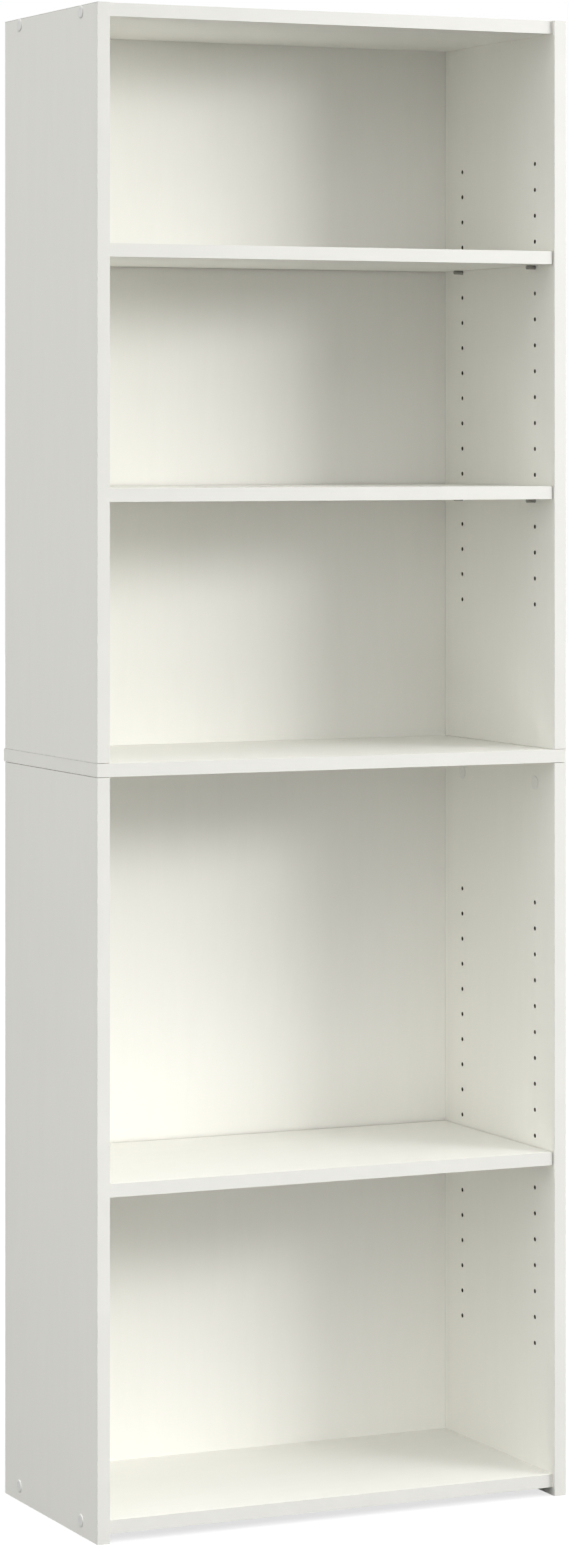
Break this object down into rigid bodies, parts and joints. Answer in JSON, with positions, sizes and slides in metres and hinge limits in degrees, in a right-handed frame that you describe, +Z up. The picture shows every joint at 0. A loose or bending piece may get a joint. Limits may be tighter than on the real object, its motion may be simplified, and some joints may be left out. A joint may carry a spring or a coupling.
{
  "type": "bookcase with adjustable shelves",
  "caption": "Tall narrow open bookcase in white faced board: two stacked pairs of uprights, fixed middle shelf, thin back, and loose shelves lying on metal pins in lines of holes.",
  "frame": {"origin": "on the floor, under the middle of the overall box", "axes": "+X to the right seen from the front, +Y towards the back, +Z up"},
  "size_m": [0.6274, 0.293, 1.808],
  "materials": {
    "white_board": "satin white melamine-faced particleboard",
    "white_edging": "satin white edge strip",
    "back_sheet": "white foil face, brown hardboard rear",
    "white_plastic": "moulded white plastic",
    "bright_steel": "bright zinc-plated steel",
    "zinc_alloy": "die-cast zinc alloy",
    "dowel_wood": "plain beech"
  },
  "bodies": {
    "carcass": {"lower_left_upright": "white_board", "lower_left_upright_edge_strip": "white_edging", "lower_right_upright": "white_board", "lower_right_upright_edge_strip": "white_edging", "upper_left_upright": "white_board", "upper_left_upright_edge_strips": "white_edging", "upper_right_upright": "white_board", "upper_right_upright_edge_strips": "white_edging", "bottom_shelf": "white_board", "bottom_shelf_edge_strip": "white_edging", "top_panel": "white_board", "top_panel_edge_strip": "white_edging", "middle_shelf": "white_board", "middle_shelf_edge_strips": "white_edging", "lower_back_panel": "back_sheet", "upper_back_panel": "back_sheet", "panel_screws": "bright_steel", "screw_covers": "white_plastic", "cam_locks": "zinc_alloy", "cam_lock_covers": "white_plastic", "cam_dowels": "zinc_alloy", "lower_wood_dowels": "dowel_wood", "upper_wood_dowels": "dowel_wood", "lower_back_nails": "bright_steel", "upper_back_nails": "bright_steel"},
    "adjustable_shelf_1": {"adjustable_shelf_1": "white_board", "adjustable_shelf_1_edge_strip": "white_edging"},
    "adjustable_shelf_2": {"adjustable_shelf_2": "white_board", "adjustable_shelf_2_edge_strip": "white_edging"},
    "adjustable_shelf_3": {"adjustable_shelf_3": "white_board", "adjustable_shelf_3_edge_strip": "white_edging"},
    "shelf_1_pin_front_left": {"shelf_1_pin_front_left": "bright_steel"},
    "shelf_1_pin_rear_left": {"shelf_1_pin_rear_left": "bright_steel"},
    "shelf_1_pin_front_right": {"shelf_1_pin_front_right": "bright_steel"},
    "shelf_1_pin_rear_right": {"shelf_1_pin_rear_right": "bright_steel"},
    "shelf_2_pin_front_left": {"shelf_2_pin_front_left": "bright_steel"},
    "shelf_2_pin_rear_left": {"shelf_2_pin_rear_left": "bright_steel"},
    "shelf_2_pin_front_right": {"shelf_2_pin_front_right": "bright_steel"},
    "shelf_2_pin_rear_right": {"shelf_2_pin_rear_right": "bright_steel"},
    "shelf_3_pin_front_left": {"shelf_3_pin_front_left": "bright_steel"},
    "shelf_3_pin_rear_left": {"shelf_3_pin_rear_left": "bright_steel"},
    "shelf_3_pin_front_right": {"shelf_3_pin_front_right": "bright_steel"},
    "shelf_3_pin_rear_right": {"shelf_3_pin_rear_right": "bright_steel"}
  },
  "joints": [
    {"name": "shelf_1_lift", "type": "slide", "parent": "carcass", "child": "adjustable_shelf_1", "axis": [0, 0, 1], "range_m": [0, 0.265]},
    {"name": "shelf_2_lift", "type": "slide", "parent": "carcass", "child": "adjustable_shelf_2", "axis": [0, 0, 1], "range_m": [0, 0.266]},
    {"name": "shelf_3_lift", "type": "slide", "parent": "carcass", "child": "adjustable_shelf_3", "axis": [0, 0, 1], "range_m": [0, 0.44]},
    {"name": "shelf_1_pin_front_left_pull", "type": "slide", "parent": "carcass", "child": "shelf_1_pin_front_left", "axis": [1, 0, 0], "range_m": [0, 0.0125]},
    {"name": "shelf_1_pin_rear_left_pull", "type": "slide", "parent": "carcass", "child": "shelf_1_pin_rear_left", "axis": [1, 0, 0], "range_m": [0, 0.0125]},
    {"name": "shelf_1_pin_front_right_pull", "type": "slide", "parent": "carcass", "child": "shelf_1_pin_front_right", "axis": [-1, 0, 0], "range_m": [0, 0.0125]},
    {"name": "shelf_1_pin_rear_right_pull", "type": "slide", "parent": "carcass", "child": "shelf_1_pin_rear_right", "axis": [-1, 0, 0], "range_m": [0, 0.0125]},
    {"name": "shelf_2_pin_front_left_pull", "type": "slide", "parent": "carcass", "child": "shelf_2_pin_front_left", "axis": [1, 0, 0], "range_m": [0, 0.0125]},
    {"name": "shelf_2_pin_rear_left_pull", "type": "slide", "parent": "carcass", "child": "shelf_2_pin_rear_left", "axis": [1, 0, 0], "range_m": [0, 0.0125]},
    {"name": "shelf_2_pin_front_right_pull", "type": "slide", "parent": "carcass", "child": "shelf_2_pin_front_right", "axis": [-1, 0, 0], "range_m": [0, 0.0125]},
    {"name": "shelf_2_pin_rear_right_pull", "type": "slide", "parent": "carcass", "child": "shelf_2_pin_rear_right", "axis": [-1, 0, 0], "range_m": [0, 0.0125]},
    {"name": "shelf_3_pin_front_left_pull", "type": "slide", "parent": "carcass", "child": "shelf_3_pin_front_left", "axis": [1, 0, 0], "range_m": [0, 0.0125]},
    {"name": "shelf_3_pin_rear_left_pull", "type": "slide", "parent": "carcass", "child": "shelf_3_pin_rear_left", "axis": [1, 0, 0], "range_m": [0, 0.0125]},
    {"name": "shelf_3_pin_front_right_pull", "type": "slide", "parent": "carcass", "child": "shelf_3_pin_front_right", "axis": [-1, 0, 0], "range_m": [0, 0.0125]},
    {"name": "shelf_3_pin_rear_right_pull", "type": "slide", "parent": "carcass", "child": "shelf_3_pin_rear_right", "axis": [-1, 0, 0], "range_m": [0, 0.0125]}
  ]
}
